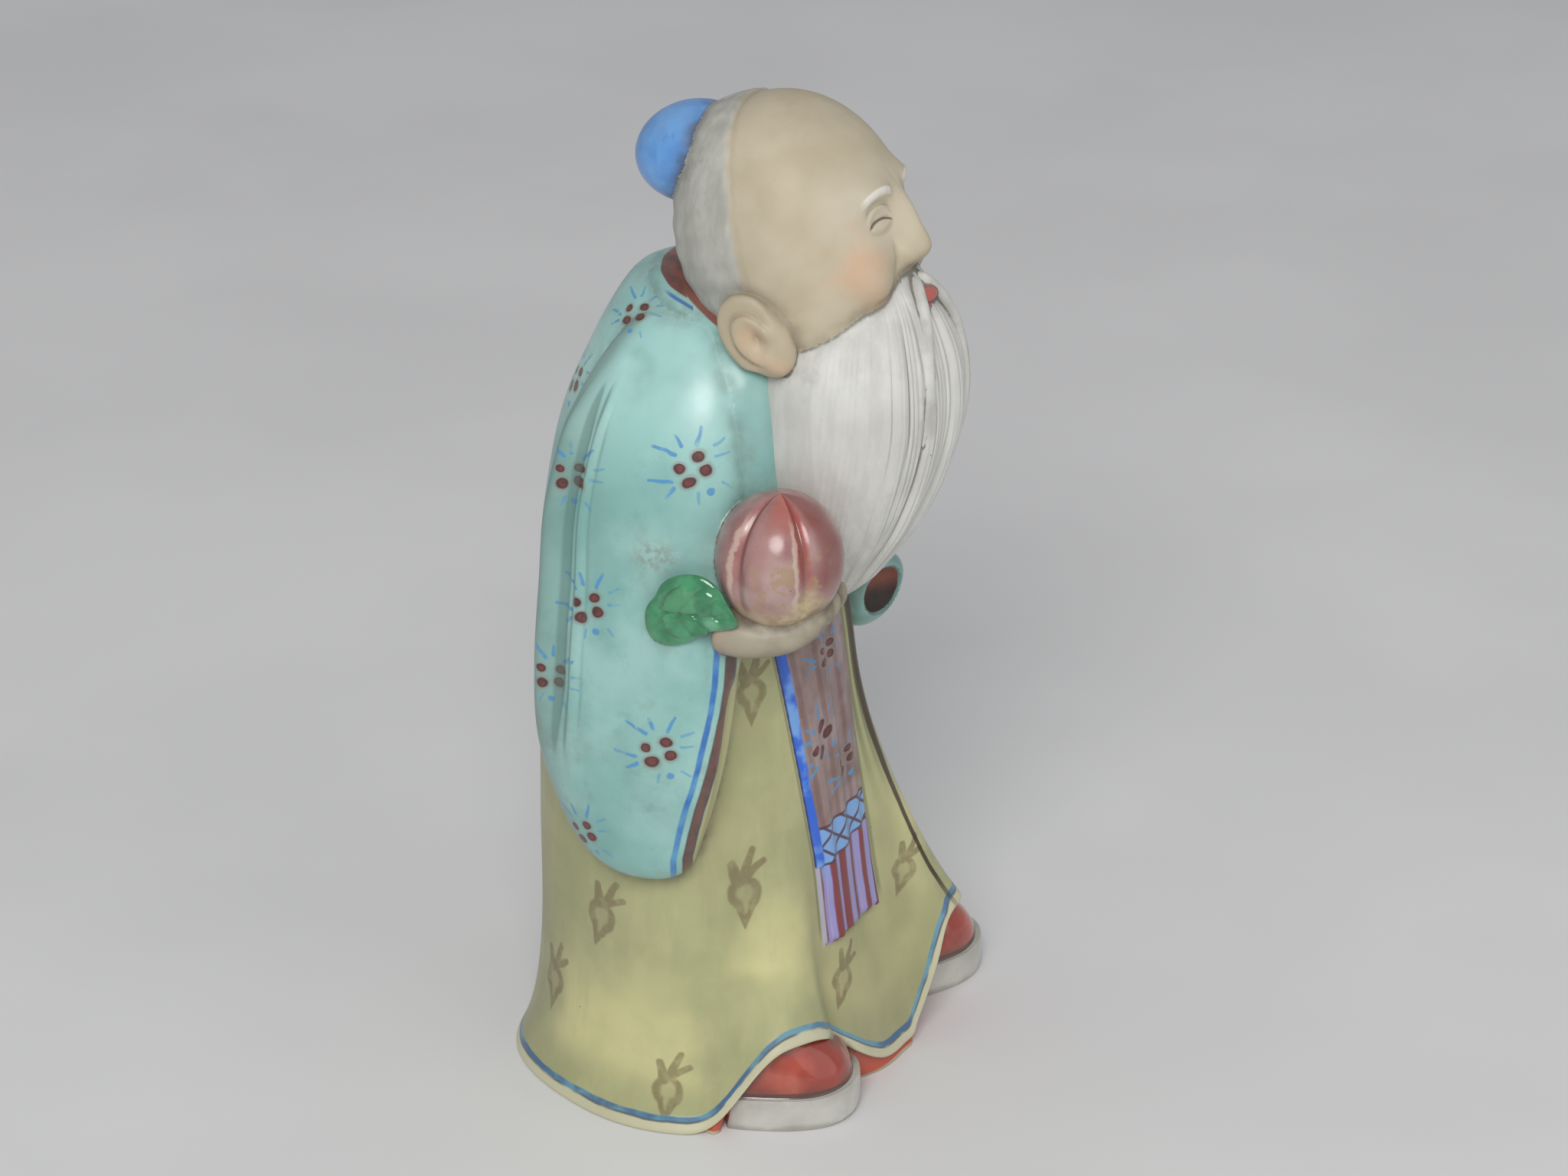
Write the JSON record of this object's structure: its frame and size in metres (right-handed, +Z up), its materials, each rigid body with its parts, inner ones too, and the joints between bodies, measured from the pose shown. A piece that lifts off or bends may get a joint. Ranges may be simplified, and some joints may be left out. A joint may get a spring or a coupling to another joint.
{
  "type": "porcelain figure",
  "caption": "Standing robed old man with a bald domed head, small cap, long beard, bag sleeves, a sash and a peach with a leaf held up on one hand.",
  "frame": {"origin": "centre of the bounding box at the underside", "axes": "+Z up, the figure faces -Y, its right hand is towards -X"},
  "size_m": [0.0598, 0.0554, 0.1274],
  "materials": {
    "porcelain": "painted porcelain: glossy turquoise, yellow, pink, green and red enamels on the clothes, fruit and shoes, matte skin, hair and beard"
  },
  "bodies": {
    "root": {"figure": "porcelain"}
  },
  "joints": []
}
